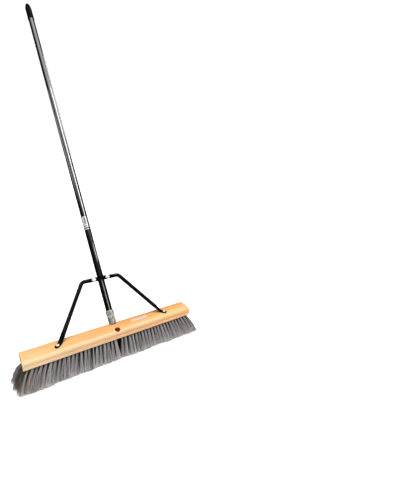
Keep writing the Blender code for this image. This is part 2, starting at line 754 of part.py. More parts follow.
def make_bristle_row(name, row, side, collection, finish, levels=7):
    """Plain closed solid of one row, or of one half of a row: side is -1, 0 for a whole row, or 1."""
    rings = []
    for level in range(levels):
        share = level / (levels - 1)
        z = (TRIM - GAP) * (1 - share)
        centre = row_centre(row, share)
        half = row_thickness(share) / 2
        reach = row_reach(share)
        inner = gap_half_width(share)
        ends = {-1: (-reach, -inner), 0: (-reach, reach), 1: (inner, reach)}[side]
        rings.append([(ends[a], centre + b * half, z) for a, b in ((0, -1), (1, -1), (1, 1), (0, 1))])
    return loft(name, rings, collection, finish)


def make_bristles(collection, finish):
    for row, place in ((-2, "front"), (2, "back")):
        for side, hand in ((-1, "left"), (1, "right")):
            make_bristle_row(f"bristles_{place}_{hand}", row, side, collection, finish)
    for row, place in ((-1, "inner_front"), (0, "centre"), (1, "inner_back")):
        make_bristle_row(f"bristles_{place}", row, 0, collection, finish)


def build():
    clear_scene()
    parts = new_collection("push_broom")
    cutters = new_collection("cutters")
    wood = material("lacquered_wood", (0.80, 0.52, 0.26), 0.35)
    black_paint = material("black_paint", (0.01, 0.01, 0.01), 0.25)
    plating = material("plated_steel", (0.62, 0.62, 0.60), 0.35, 1.0)
    zinc = material("bright_zinc", (0.80, 0.80, 0.78), 0.25, 1.0)
    plastic = material("black_plastic", (0.012, 0.012, 0.012), 0.5)
    bristle = material("grey_bristle", (0.16, 0.155, 0.15), 0.7)
    paper = material("pale_sticker", (0.75, 0.74, 0.76), 0.5)
    make_block(parts, cutters, wood)
    make_block_label(parts, paper)
    make_tube(parts, black_paint)
    make_ferrule(parts, plating)
    make_cap(parts, cutters, plastic)
    make_handle_label(parts, paper)
    make_brace(parts, cutters, black_paint)
    make_clamp_strap(parts, cutters, black_paint)
    make_fasteners(parts, cutters, zinc)
    for side, place in foot_screw_places().items():
        make_foot_screw(side, place, parts, cutters, zinc)
    make_bristles(parts, bristle)


build()
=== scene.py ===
"""The looks of the push broom: filaments in every tuft, wood, paint, plated metal, light and camera."""
import json
import math
import random

import bmesh
import bpy
from mathutils import Matrix, Quaternion, Vector


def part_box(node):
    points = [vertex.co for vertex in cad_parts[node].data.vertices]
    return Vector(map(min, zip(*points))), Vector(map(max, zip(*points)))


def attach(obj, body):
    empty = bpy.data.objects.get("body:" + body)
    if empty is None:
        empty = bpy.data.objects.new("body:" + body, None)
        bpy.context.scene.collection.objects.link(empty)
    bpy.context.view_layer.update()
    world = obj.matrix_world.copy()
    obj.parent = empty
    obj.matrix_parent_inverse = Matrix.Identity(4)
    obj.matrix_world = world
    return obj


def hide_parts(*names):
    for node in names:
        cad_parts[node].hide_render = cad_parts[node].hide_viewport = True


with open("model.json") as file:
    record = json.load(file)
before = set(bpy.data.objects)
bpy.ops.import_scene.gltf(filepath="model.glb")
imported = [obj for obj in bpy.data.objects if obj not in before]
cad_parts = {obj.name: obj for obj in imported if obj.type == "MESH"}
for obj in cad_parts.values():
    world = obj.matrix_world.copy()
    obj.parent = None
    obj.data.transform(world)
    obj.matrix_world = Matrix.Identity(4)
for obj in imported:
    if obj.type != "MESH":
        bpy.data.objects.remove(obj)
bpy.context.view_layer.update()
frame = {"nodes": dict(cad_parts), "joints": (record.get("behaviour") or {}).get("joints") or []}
nodes = frame["nodes"]
joint = frame["joints"][0]

ENTRY = Vector(joint["pos_m"])
AXIS = Vector(joint["axis"]).normalized()
BLOCK_LOW, BLOCK_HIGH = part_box("block")
TRIM = BLOCK_LOW.z
ROOT_REACH = 0.289  # outer side of the last tuft, along X


# Materials

def linear(*srgb):
    """An 8-bit screen colour as linear light."""
    made = []
    for value in srgb:
        c = value / 255
        made.append(c / 12.92 if c <= 0.04045 else ((c + 0.055) / 1.055) ** 2.4)
    return (*made, 1.0)


class Shader:
    """A material's node tree, with short calls for the nodes used here."""

    def __init__(self, name):
        self.material = bpy.data.materials.new(name)
        self.material.use_nodes = True
        self.tree = self.material.node_tree
        self.base = self.tree.nodes["Principled BSDF"]
        self.coordinates = self.tree.nodes.new("ShaderNodeTexCoord")
        self.place = self.coordinates.outputs["Object"]

    def link(self, source, target):
        self.tree.links.new(source, target)

    def feed(self, socket, value):
        """Links another node's output to the socket, or sets a plain value."""
        if isinstance(value, bpy.types.NodeSocket):
            self.link(value, socket)
        else:
            socket.default_value = value

    def set(self, **values):
        """Inputs of the Principled BSDF, with _ for each space in their names."""
        for name, value in values.items():
            self.feed(self.base.inputs[name.replace("_", " ")], value)

    def stretched(self, scale):
        """The place on the object, scaled, so that a noise of scale 1 is stretched along it."""
        node = self.tree.nodes.new("ShaderNodeMapping")
        node.inputs["Scale"].default_value = scale
        self.link(self.place, node.inputs["Vector"])
        return node.outputs["Vector"]

    def noise(self, vector, scale=1.0, detail=4.0, rough=0.55, distort=0.0):
        node = self.tree.nodes.new("ShaderNodeTexNoise")
        node.inputs["Scale"].default_value = scale
        node.inputs["Detail"].default_value = detail
        node.inputs["Roughness"].default_value = rough
        node.inputs["Distortion"].default_value = distort
        self.link(vector, node.inputs["Vector"])
        return node.outputs["Fac"]

    def cells(self, vector, scale=1.0):
        node = self.tree.nodes.new("ShaderNodeTexVoronoi")
        node.inputs["Scale"].default_value = scale
        self.link(vector, node.inputs["Vector"])
        return node.outputs["Distance"]

    def ramp(self, value, *stops):
        """stops are (position, colour); a bare number stands for a grey."""
        node = self.tree.nodes.new("ShaderNodeValToRGB")
        self.link(value, node.inputs["Fac"])
        elements = node.color_ramp.elements
        while len(elements) < len(stops):
            elements.new(0.5)
        for element, (position, colour) in zip(elements, stops):
            element.position = position
            element.color = colour if isinstance(colour, tuple) else (colour, colour, colour, 1.0)
        return node.outputs["Color"]

    def mix(self, factor, first, second, mode="MIX"):
        node = self.tree.nodes.new("ShaderNodeMix")
        node.data_type = "RGBA"
        node.blend_type = mode
        for name, value in (("Factor", factor), ("A", first), ("B", second)):
            self.feed(next(s for s in node.inputs if s.name == name and s.enabled), value)
        return next(s for s in node.outputs if s.enabled)

    def math(self, operation, first, second=0.0):
        node = self.tree.nodes.new("ShaderNodeMath")
        node.operation = operation
        self.feed(node.inputs[0], first)
        self.feed(node.inputs[1], second)
        return node.outputs["Value"]

    def part(self, vector, axis):
        """One of a vector's X, Y and Z."""
        node = self.tree.nodes.new("ShaderNodeSeparateXYZ")
        self.link(vector, node.inputs["Vector"])
        return node.outputs[axis]

    def vector(self, operation, first, second):
        node = self.tree.nodes.new("ShaderNodeVectorMath")
        node.operation = operation
        self.feed(node.inputs[0], first)
        self.feed(node.inputs[1], second)
        return node.outputs["Value" if operation in ("DOT_PRODUCT", "LENGTH") else "Vector"]

    def within(self, mouth, axis, radius, depth):
        """1 inside a bore: nearer its axis than the radius, and further in than the depth."""
        away = self.vector("SUBTRACT", self.place, mouth)
        aside = self.vector("LENGTH", self.vector("CROSS_PRODUCT", away, axis), (0, 0, 0))
        near = self.math("LESS_THAN", aside, radius)
        deep = self.math("LESS_THAN", self.vector("DOT_PRODUCT", away, axis), depth)
        return self.math("MULTIPLY", near, deep)

    def bump(self, value, distance, strength):
        node = self.tree.nodes.new("ShaderNodeBump")
        node.inputs["Distance"].default_value = distance
        node.inputs["Strength"].default_value = strength
        self.link(value, node.inputs["Height"])
        return node.outputs["Normal"]


BORE_EDGE = 0.0102  # just outside the bores' own radius
BORE_FROM = -0.0016  # along the bore's axis from its mouth
ALONG_SCALE = 1.48  # shares of the block's length to a metre


def wood_material():
    """Pale hardwood with straight grain along X under clear lacquer; painted shade darkens the bores, the end grain
    is darker and deepened with painted shade, and a painted sheen greys the front face.
    """
    s = Shader("wood_look")
    warp = s.noise(s.stretched((1.8, 14, 14)), 1.0, 2.0)
    bands = s.noise(s.stretched((1.6, 70, 70)), 1.0, 5.0, 0.6, 0.8)
    fine = s.noise(s.stretched((7, 700, 700)), 1.0, 4.0, 0.7)
    pores = s.noise(s.stretched((26, 1500, 1500)), 1.0, 2.0, 0.6)
    tone = s.ramp(bands, (0.30, linear(184, 126, 68)), (0.48, linear(204, 149, 87)), (0.66, linear(217, 167, 110)))
    tone = s.mix(0.40, tone, s.ramp(warp, (0.34, linear(195, 133, 74)), (0.66, linear(219, 172, 120))))

    # The board is paler towards its left end, and its front face greyer than its crown: a painted sheen, strongest
    # towards the left end
    along = s.math("ADD", s.math("MULTIPLY", s.part(s.place, "X"), ALONG_SCALE), 0.5)
    pale = s.ramp(along, (0.0, 0.50), (0.55, 0.0))
    tone = s.mix(pale, tone, linear(222, 188, 142))
    tone = s.mix(s.ramp(fine, (0.36, 0.60), (0.60, 0.0)), tone, linear(164, 108, 62))
    tone = s.mix(s.ramp(pores, (0.66, 0.0), (0.74, 0.45)), tone, linear(150, 96, 50))
    normal = s.coordinates.outputs["Normal"]
    front = s.ramp(s.math("MULTIPLY", s.part(normal, "Y"), -1.0), (0.30, 0.0), (0.80, 0.80))
    front = s.math("MULTIPLY", front, s.ramp(along, (0.0, 1.0), (0.75, 0.35)))
    tone = s.mix(front, tone, s.mix(0.25, linear(190, 176, 146), tone))

    # End grain: darker than the face grain, and darkened further with painted shade on the end faces
    end = s.ramp(s.math("ABSOLUTE", s.part(normal, "X")), (0.30, 0.0), (0.45, 1.0))
    rings = s.noise(s.stretched((2, 240, 700)), 1.0, 4.0, 0.7, 1.5)
    end_grain_and_shade = s.ramp(rings, (0.35, linear(112, 76, 46)), (0.65, linear(156, 112, 70)))
    tone = s.mix(end, tone, end_grain_and_shade)
    # Painted shade: the inside of each bore is darkened to brown
    for lean in (1, -1):
        mouth = Vector((0, lean * ENTRY.y, ENTRY.z))
        axis = Vector((0, lean * AXIS.y, AXIS.z))
        tone = s.mix(s.within(mouth, axis, BORE_EDGE, BORE_FROM), tone, linear(150, 92, 48))
    s.set(Base_Color=tone, Roughness=s.ramp(fine, (0.3, 0.46), (0.7, 0.34)))
    s.set(Coat_Weight=0.15, Coat_Roughness=0.34, Specular_IOR_Level=0.25, Normal=s.bump(fine, 0.00025, 0.6))
    return s.material


def paint_material(name, roughness, coat):
    """Glossy black paint with a faint orange peel and rubbed patches."""
    s = Shader(name)
    peel = s.noise(s.stretched((420, 420, 420)), 1.0, 2.0)
    patches = s.noise(s.stretched((26, 26, 12)), 1.0, 5.0, 0.65)
    rubbed = s.ramp(patches, (0.40, roughness), (0.72, roughness + 0.12))
    specks = s.ramp(s.noise(s.stretched((900, 900, 500)), 1.0, 1.0), (0.74, 0.0), (0.80, 0.5))
    s.set(Base_Color=s.mix(specks, linear(6, 6, 6), linear(30, 29, 28)), Roughness=rubbed)
    s.set(Coat_Weight=coat, Coat_Roughness=0.07, Specular_IOR_Level=0.3 * coat, Normal=s.bump(peel, 0.00002, 0.5))
    return s.material


def ferrule_material():
    """Dull plated metal with a mottled crystalline finish."""
    s = Shader("ferrule_look")
    spangle = s.cells(s.stretched((300, 300, 300)))
    cloud = s.noise(s.stretched((130, 130, 130)), 1.0, 5.0, 0.7, 0.8)
    tone = s.ramp(cloud, (0.38, linear(34, 32, 30)), (0.50, linear(122, 118, 112)), (0.60, linear(208, 203, 195)))
    tone = s.mix(s.ramp(spangle, (0.1, 0.0), (0.6, 0.4)), tone, linear(150, 147, 143))
    s.set(Base_Color=tone, Metallic=0.35, Roughness=s.ramp(cloud, (0.3, 0.52), (0.7, 0.28)))
    s.set(Normal=s.bump(cloud, 0.0004, 0.5))
    return s.material


def zinc_material():
    """Bright zinc plate with fine turning marks and a few dull spots."""
    s = Shader("zinc_look")
    cloud = s.noise(s.stretched((260, 260, 260)), 1.0, 4.0, 0.65)
    tone = s.ramp(cloud, (0.35, linear(190, 190, 188)), (0.65, linear(238, 238, 236)))
    s.set(Base_Color=tone, Metallic=0.4, Roughness=s.ramp(cloud, (0.3, 0.34), (0.7, 0.18)))
    s.set(Normal=s.bump(s.noise(s.stretched((1800, 1800, 1800)), 1.0, 2.0), 0.00004, 0.5))
    return s.material


def plastic_material():
    """Satin black moulded plastic with a fine texture."""
    s = Shader("plastic_look")
    grain = s.noise(s.stretched((1600, 1600, 1600)), 1.0, 2.0)
    scuffs = s.noise(s.stretched((60, 60, 30)), 1.0, 5.0, 0.7)
    s.set(Base_Color=s.ramp(scuffs, (0.45, linear(4, 4, 4)), (0.75, linear(10, 10, 10))))
    s.set(Roughness=s.ramp(scuffs, (0.4, 0.34), (0.7, 0.5)), Specular_IOR_Level=0.015)
    s.set(Normal=s.bump(grain, 0.00006, 0.6))
    return s.material


def sticker_material(name, along, across, middle, size, ground, bars):
    """Blank printed sticker: a pale ground in two tints and a few plain bars, no lettering."""
    s = Shader(name)
    away = s.vector("SUBTRACT", s.place, middle)

    def share(direction, length):
        return s.math("ADD", s.math("DIVIDE", s.vector("DOT_PRODUCT", away, direction), length), 0.5)

    u, v = share(along, size[0]), share(across, size[1])

    def window(value, low, high):
        return s.math("MULTIPLY", s.math("GREATER_THAN", value, low), s.math("LESS_THAN", value, high))

    tone = s.ramp(s.noise(s.stretched((900, 900, 900))), (0.3, ground[0]), (0.7, ground[1]))
    for (u0, u1, v0, v1), tint in bars:
        tone = s.mix(s.math("MULTIPLY", window(u, u0, u1), window(v, v0, v1)), tone, tint)
    s.set(Base_Color=tone, Roughness=0.42, Coat_Weight=0.3, Coat_Roughness=0.25)
    return s.material


# Brightness of the filaments from the tips, 0, to the block, 1: pale tips, and painted shade that darkens them
# towards the block
TIPS_TO_ROOTS = (
    (0.0, 0.92), (0.12, 0.83), (0.28, 0.61), (0.60, 0.50), (0.80, 0.58), (0.87, 0.52), (0.93, 0.34), (1.0, 0.20),
)


def bristle_material():
    """Grey synthetic filaments, each a little different, with painted shade between the tufts at the block, and pale
    at the tips.
    """
    s = Shader("bristle_look")
    grown = s.tree.nodes.new("ShaderNodeAttribute")
    grown.attribute_name = "tone"
    each = s.tree.nodes.new("ShaderNodeNewGeometry").outputs["Random Per Island"]
    up = s.math("DIVIDE", s.part(s.place, "Z"), TRIM)
    tint = s.ramp(each, (0.0, linear(210, 203, 200)), (0.5, linear(220, 215, 213)), (1.0, linear(230, 228, 230)))
    tone = s.mix(1.0, tint, s.ramp(up, *TIPS_TO_ROOTS), "MULTIPLY")
    tone = s.mix(1.0, tone, s.ramp(grown.outputs["Fac"], (0.0, 0.0), (1.0, 1.0)), "MULTIPLY")
    # Painted warm shade: the outermost tufts darker and browner, as in the block's shade and colour cast
    outwards = s.math("DIVIDE", s.math("ABSOLUTE", s.part(s.place, "X")), ROOT_REACH)
    painted_warm_shade = s.mix(1.0, tone, linear(214, 190, 168), "MULTIPLY")
    tone = s.mix(s.ramp(outwards, (0.90, 0.0), (1.0, 0.35)), tone, painted_warm_shade)
    s.set(Base_Color=tone, Roughness=0.5, Specular_IOR_Level=0.12)
    return s.material


def hole_shade_material():
    """Painted shade: a dark brown disc in the hole round each tuft's root."""
    s = Shader("hole_shade_look")
    fine = s.noise(s.stretched((700, 700, 700)))
    s.set(Base_Color=s.ramp(fine, (0.3, linear(38, 24, 14)), (0.7, linear(74, 48, 28))), Roughness=0.9)
    return s.material


def new_object(name, mesh, *finishes):
    obj = bpy.data.objects.new(name, mesh)
    bpy.context.scene.collection.objects.link(obj)
    for finish in finishes:
        mesh.materials.append(finish)
    return obj


def refinish(node, finish):
    """A CAD node keeps its shape and gets a better material."""
    slots = nodes[node].data.materials
    slots.clear()
    slots.append(finish)


# Bristles: lengths along a strand are shares of the trim, everything else is in metres

SEED = 1200
OUTER_ROW = 2
TUFTS_PER_SIDE = 22
TUFT_PITCH = 0.01325
TUFT_RADIUS = 0.0033
HOLE_RADIUS = 0.0042
HOLE_PROUD = 0.00012  # how far the hole's disc stands below the block's face
ROOT_PITCH = 0.0140  # between rows at the block
TIP_PITCH = 0.0195  # between rows at the tips

FILAMENTS = 64
FILAMENT_RADIUS = 0.00046
FILAMENT_SIDES = 3
SIDE_TURN = 2.0944  # a third of a turn
TAPER = (1.0, 1.0, 0.95, 0.8)
RINGS = (0.0, 0.30, 0.62, 0.86, 1.0)
SIZES = (0.75, 1.2)  # least and most, for one filament
TONES = (0.70, 1.20)
SIDE_SHADE = 0.55  # painted shade: how much darker a filament is at its tuft's left and right, next to the neighbouring tufts
# SHADE_POWER: how the painted shade at a filament's root fades towards its tip
SHADE_POWER = 1.2
FRAY = 0.008  # how unevenly a tuft's filaments end
END_FRAY = 0.035  # the same, added at the left end
WAVE = 0.0006
WAVE_HALF_TURNS = 1.5
FLAGS = 4  # thin split ends on each filament
FLAG_TAPER = (0.55, 0.42)
FLAG_SPREAD = 0.0018
FLAG_RISE = (-0.0012, 0.0030)
FLAG_MIDDLE = 0.55
FLAG_BOW = 0.3
LOWEST_TIP = 0.0003

LOCKS = 8  # bundles that the filaments of a tuft gather in
LOCK_TONES = (0.50, 0.66, 0.80, 0.92, 1.00, 1.08, 1.18, 1.30, 1.45)
LOCK_REACH = (0.2, 0.9)  # of the tuft's radius
LOCK_TURN = 0.3
LOCK_LENGTH = 0.004
TURN_SCATTER = 0.25  # of the filaments round their lock
REACH_SCATTER = 0.14

TUFT_TONES = (0.92, 1.0)
TUFT_LENGTH = 0.982
LENGTH_WANDER = 0.018
LENGTH_SCATTER = 0.006
LONGEST = 0.996
LEAN_SCATTER_X = 0.0009
LEAN_SCATTER_Y = 0.0010
LEAN_OUT = 0.0165  # towards the block's ends, in step with X
LEAN_OUT_CUBED = 0.0225  # the same, but mostly at the ends
LEAN_WANDER_X = 0.0024
LEAN_WANDER_Y = 0.0022
FRONT_LEAN = 0.0060  # how much further the front rows lean out at the right end
END_FROM = 0.84  # share of the block's half length at which its last tufts begin
END_STRETCH = 0.16  # and over which they change
END_BOW = 0.45  # how much earlier the tufts lean out at the ends
END_SPREAD = 0.0030
END_PULL = (0.012, 0.006, 0.011, 0.012, 0.008)  # how much less the left end leans out, row by row
# The left end's tufts are bushy: more filaments, which bow and stray more
BUSHY_ROWS = (0.0, 0.5, 1.0, 1.0, 1.0)  # from the front row to the back
BUSHY_FILAMENTS = 1.4  # share that is added
# The bushy tufts get a little painted shade, and less painted shade at their roots
BUSHY_SHADE = 0.05
BUSHY_ROOTS = 0.40
BUSHY_BOW = (0.3, 2.2)
BUSHY_STRAY = 0.0022
BUSHY_INWARDS = 0.0040
GAP_LEAN = 0.0056  # how far the tufts beside the centre gap lean into it
GAP_REACH = 0.012
GAP_HALF_WIDTH = 0.016
STRAY = 0.0008
SPREAD_Y = 0.0070
OUTER_SPREAD_X = 0.0074
INNER_SPREAD_X = 0.0082
OUTER_FAN = 1.25  # power of the height by which a tuft opens: over 1 it opens late, under 1 at once
INNER_FAN = 0.5
INNER_TONE = 0.75  # the inner rows stand in the outer rows' shade
# INNER_ROOT_SHADE: brightness left at the inner rows' roots under painted shade
INNER_ROOT_SHADE = 0.03
# GAP_SHADE: brightness of the inner tufts beside the centre gap, painted nearly black as shade
GAP_SHADE = 0.06
FULL_TURN = 6.28


class Rows:
    """Grows the filaments of one row as triangles."""

    def __init__(self):
        self.points = []
        self.faces = []
        self.finish = []
        self.tones = []

    def strand(self, path, radii, turn, tones):
        """A three-sided tapering strand along a path, closed with a point."""
        first = len(self.points)
        for place, radius, tone in zip(path[:-1], radii, tones):
            self.tones += [tone] * FILAMENT_SIDES
            for k in range(FILAMENT_SIDES):
                angle = turn + k * SIDE_TURN
                offset = Vector((math.cos(angle) * radius, math.sin(angle) * radius, 0))
                self.points.append(place + offset)
        self.points.append(path[-1])
        self.tones.append(tones[-1])
        rings = len(path) - 1
        for ring in range(rings - 1):
            low = first + FILAMENT_SIDES * ring
            for k in range(FILAMENT_SIDES):
                a, b = low + k, low + (k + 1) % FILAMENT_SIDES
                self.faces.append((a, a + FILAMENT_SIDES, b + FILAMENT_SIDES, b))
                self.finish.append(0)
        last = first + FILAMENT_SIDES * (rings - 1)
        tip = first + FILAMENT_SIDES * rings
        for k in range(FILAMENT_SIDES):
            self.faces.append((last + k, tip, last + (k + 1) % FILAMENT_SIDES))
            self.finish.append(0)

    def disc(self, centre, radius, sides=14):
        """The hole that a tuft stands in, facing down, as a disc that carries its painted shade."""
        first = len(self.points)
        for k in range(sides):
            angle = 2 * math.pi * k / sides
            self.points.append(centre + Vector((radius * math.cos(angle), radius * math.sin(angle), 0)))
            self.tones.append(1.0)
        self.faces.append(tuple(range(first + sides - 1, first - 1, -1)))
        self.finish.append(1)

    def object(self, name, *finishes):
        mesh = bpy.data.meshes.new(name)
        mesh.from_pydata([tuple(p) for p in self.points], [], self.faces)
        mesh.update()
        obj = new_object(name, mesh, *finishes)
        mesh.polygons.foreach_set("material_index", self.finish)
        mesh.attributes.new("tone", "FLOAT", "POINT").data.foreach_set("value", self.tones)
        mesh.shade_smooth()
        return obj


def tuft_positions(row):
    """X of each tuft: the outer rows leave one out at the centre, and every other row is set half a pitch along."""
    if abs(row) == OUTER_ROW:
        half = [TUFT_PITCH * k for k in range(1, TUFTS_PER_SIDE + 1)]
        return [-x for x in reversed(half)] + half
    if row % 2:
        return [TUFT_PITCH * (k + 0.5) for k in range(-TUFTS_PER_SIDE, TUFTS_PER_SIDE)]
    return [TUFT_PITCH * k for k in range(-TUFTS_PER_SIDE, TUFTS_PER_SIDE + 1)]


def wander(dice, waves=5, longest=0.30):
    """A smooth random function of X between about -1 and 1: waves, each shorter and lower than the last."""
    parts = [(longest / (1.6 ** k), dice.uniform(0, FULL_TURN), 0.75 ** k) for k in range(waves)]
    total = sum(weight for _, _, weight in parts)
    return lambda x: sum(w * math.sin(FULL_TURN * x / length + phase) for length, phase, w in parts) / total


def tuft_lean(dice, x, row, left, lean_at):
    """How far a tuft's tips stand from its root, along X and along Y."""
    u = x / ROOT_REACH
    lean_x = LEAN_OUT * u + LEAN_OUT_CUBED * u ** 3 + LEAN_WANDER_X * lean_at(x) * (1 - u * u)
    lean_x += left * END_PULL[row + 2]
    if abs(row) == OUTER_ROW:
        lean_x -= math.copysign(GAP_LEAN * math.exp(-((abs(x) - TUFT_PITCH) / GAP_REACH) ** 2), x)
    lean_x += dice.gauss(0, LEAN_SCATTER_X)
    lean_y = row * (TIP_PITCH - ROOT_PITCH) - LEAN_WANDER_Y * lean_at(x + 0.1) + dice.gauss(0, LEAN_SCATTER_Y)
    if row < 0:
        lean_y -= FRONT_LEAN * max(u, 0)
    return lean_x, lean_y


def grow_flags(rows, dice, path, size, angle, tone):
    """The thin split ends of one filament, from its last ring but one."""
    flag_from = path[3]
    for _ in range(FLAGS):
        split = Vector((dice.gauss(0, FLAG_SPREAD), dice.gauss(0, FLAG_SPREAD), 0))
        tip = path[-1] + split
        tip.z = max(path[-1].z + dice.uniform(*FLAG_RISE), LOWEST_TIP)
        middle = flag_from.lerp(tip, FLAG_MIDDLE) + split * FLAG_BOW
        rows.strand((flag_from, middle, tip), [size * share for share in FLAG_TAPER], angle + 1, (tone, tone))


def grow_tuft(rows, dice, x, row, length_at, lean_at):
    """One tuft: strands leave a round hole together, lean out, spread and end at slightly different heights."""
    root = Vector((x, row * ROOT_PITCH, TRIM))
    u = x / ROOT_REACH
    left = min(max(abs(u) - END_FROM, 0) / END_STRETCH, 1) * (x < 0)
    bushy = left * BUSHY_ROWS[row + 2]
    lean_x, lean_y = tuft_lean(dice, x, row, left, lean_at)
    length = TUFT_LENGTH + LENGTH_WANDER * length_at(x) - abs(dice.gauss(0, LENGTH_SCATTER))
    curl_turn = dice.uniform(0, FULL_TURN)
    tuft_tone = dice.uniform(*TUFT_TONES) * (1 - BUSHY_SHADE * bushy)
    # Painted shade: a filament is darkest at its root, and the inner rows' roots are nearly black
    root_shade, spread, fan = 1.0, OUTER_SPREAD_X, OUTER_FAN
    if abs(row) < OUTER_ROW:
        root_shade, spread, fan = INNER_ROOT_SHADE + BUSHY_ROOTS * bushy, INNER_SPREAD_X, INNER_FAN
        # Painted shade: the inner rows darker, and nearly black beside the centre gap
        tuft_tone *= INNER_TONE if abs(x) > GAP_HALF_WIDTH else GAP_SHADE
    locks = []
    for k, tone in enumerate(dice.sample(LOCK_TONES, LOCKS)):
        reach = dice.uniform(*LOCK_REACH)
        angle = 2 * math.pi * (k + dice.uniform(-LOCK_TURN, LOCK_TURN)) / LOCKS
        locks.append((reach, angle, tone, dice.gauss(0, LOCK_LENGTH)))
    for k in range(int(FILAMENTS * (1 + BUSHY_FILAMENTS * bushy))):
        lock_reach, lock_angle, lock_tone, lock_length = locks[k % LOCKS]
        angle = lock_angle + dice.gauss(0, TURN_SCATTER)
        reach = min(abs(lock_reach + dice.gauss(0, REACH_SCATTER)), 1.0)
        out = Vector((math.cos(angle), math.sin(angle), 0)) * reach
        bow = 1.0 + END_BOW * abs(u) ** 3 + bushy * dice.uniform(*BUSHY_BOW)
        stray = STRAY + BUSHY_STRAY * bushy
        spread_x = (spread + END_SPREAD * abs(u) ** 3) * out.x + dice.gauss(0, stray)
        spread_x -= bushy * abs(dice.gauss(0, BUSHY_INWARDS))
        spread_y = SPREAD_Y * out.y + dice.gauss(0, stray)
        wave = Vector((dice.gauss(0, WAVE), dice.gauss(0, WAVE), 0))
        fall = TRIM * min(length + lock_length - abs(dice.gauss(0, FRAY + END_FRAY * left)), LONGEST)
        start = root + out * TUFT_RADIUS
        path = []
        for t in RINGS:
            across = 1 - (1 - t) ** bow
            x_off = lean_x * across + spread_x * t ** fan
            y_off = lean_y * t + spread_y * t ** fan
            curl = wave * math.sin(math.pi * WAVE_HALF_TURNS * t + curl_turn)
            path.append(start + Vector((x_off, y_off, -fall * t)) + curl)
        size = FILAMENT_RADIUS * dice.uniform(*SIZES)
        # Painted shade: darker at the tuft's left and right sides
        tone = tuft_tone * lock_tone * (1 - SIDE_SHADE * out.x ** 2) * dice.uniform(*TONES)
        # Painted shade along each filament, darkest at its root
        tones = [tone * (root_shade + (1 - root_shade) * t ** SHADE_POWER) for t in RINGS]
        rows.strand(path, [size * share for share in TAPER], angle, tones)
        grow_flags(rows, dice, path, size, angle, tone)
    rows.disc(root - Vector((0, 0, HOLE_PROUD)), HOLE_RADIUS)


def make_bristles(bristle, hole):
    """Five rows of tufts in seven pieces, one for each plain CAD solid that they replace."""
    whole = {-1: "bristles_inner_front", 0: "bristles_centre", 1: "bristles_inner_back"}
    split = {-2: "bristles_front", 2: "bristles_back"}
    for row in (-2, -1, 0, 1, 2):
        dice = random.Random(SEED + row)
        length_at, lean_at = wander(dice), wander(dice, waves=3, longest=0.16)
        positions = tuft_positions(row)
        if row in whole:
            groups = [(whole[row], positions)]
        else:
            groups = [
                (split[row] + "_left", [x for x in positions if x < 0]),
                (split[row] + "_right", [x for x in positions if x > 0]),
            ]
        for node, places in groups:
            rows = Rows()
            for x in places:
                grow_tuft(rows, dice, x, row, length_at, lean_at)
            piece = rows.object("filaments_" + node.removeprefix("bristles_"), bristle, hole)
            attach(piece, "head")
            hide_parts(node)


# Light, floor and camera

DOME_FRONT = 11.0  # strength towards the front
DOME_BACK = 0.05
DOME_TURN = 0.6  # Y of the directions between which one becomes the other
WHITE = 1.05  # what the camera sees past the broom
# The dome's level by the height of the direction: what lights the broom, and what its gloss mirrors
DOME_LIGHT = (
    (0.0, 0.002), (0.45, 0.004), (0.60, 0.02), (0.68, 0.07), (0.77, 0.30), (0.86, 0.53), (0.95, 0.85), (1.0, 1.0),
)
DOME_REFLECTED = (
    (0.0, 0.002), (0.60, 0.004), (0.76, 0.02), (0.85, 0.21), (0.91, 0.46), (0.96, 0.58), (1.0, 0.62),
)
# Each lamp: name, whether only gloss shows it or gloss never does, place, what it faces, size, watts, turn
LAMPS = (
    ("key", "no gloss", (0.766, -0.149, 1.945), (0, 0.40, 0.65), (0.32, 1.1), 14, 0.0),
    ("low_strip", "gloss", (1.02, -0.50, 1.48), (0, 0.14, 0.28), (0.07, 0.5), 2.6, 0.0),
    ("foot_strip", "gloss", (0.23, -1.24, 1.20), (0, 0.08, 0.15), (0.12, 0.5), 1.8, 0.0),
    ("high_strip", "gloss", (0.75, -0.044, 2.123), (0, 0.936, 1.463), (0.48, 1.3), 54, -0.35),
    ("right_panel", "gloss", (1.2, 1.08, 1.82), (0, 1.08, 1.82), (0.9, 0.90), 12.0, 0.0),
    ("left_panel", "gloss", (-1.2, 0.84, 1.45), (0, 0.84, 1.45), (1.3, 0.55), 7.0, 0.0),
    ("fill", "no gloss", (-0.9, -2.2, 0.55), (0, 0, 0.08), (1.6, 0.9), 18, 0.0),
)
CAMERA_PLACE = (-0.3418, -0.9588, 0.6543 + TRIM)
CAMERA_TURNS = (37.331, 18.080, 1.759)  # degrees of yaw to the right, pitch down and roll
SENSOR = 36  # millimetres, the picture's taller side
LENS = 0.60428 * SENSOR


def make_lamps():
    """Strips and panels that draw the highlights down the handle and brace, and two lamps for the rest."""
    for name, kind, place, target, size, power, turn in LAMPS:
        data = bpy.data.lights.new(name, "AREA")
        data.shape = "RECTANGLE"
        data.size, data.size_y = size
        data.energy = power
        lamp = bpy.data.objects.new(name, data)
        bpy.context.scene.collection.objects.link(lamp)
        lamp.location = place
        lamp.visible_camera = False
        lamp.visible_glossy = kind == "gloss"
        lamp.visible_diffuse = kind != "gloss"
        aim = (Vector(target) - Vector(place)).to_track_quat("-Z", "Y")
        lamp.rotation_euler = (aim @ Quaternion((0, 0, 1), turn)).to_euler()


def make_floor():
    """Pale and matt. Gloss doesn't mirror it."""
    s = Shader("floor_look")
    grain = s.noise(s.stretched((40, 40, 40)), 1.0, 3.0)
    s.set(Base_Color=s.ramp(grain, (0.3, 0.90), (0.7, 0.92)), Roughness=0.75, Specular_IOR_Level=0.1)
    bm = bmesh.new()
    bmesh.ops.create_grid(bm, x_segments=1, y_segments=1, size=30)
    mesh = bpy.data.meshes.new("floor")
    bm.to_mesh(mesh)
    bm.free()
    floor = new_object("floor", mesh, s.material)
    floor.visible_glossy = False


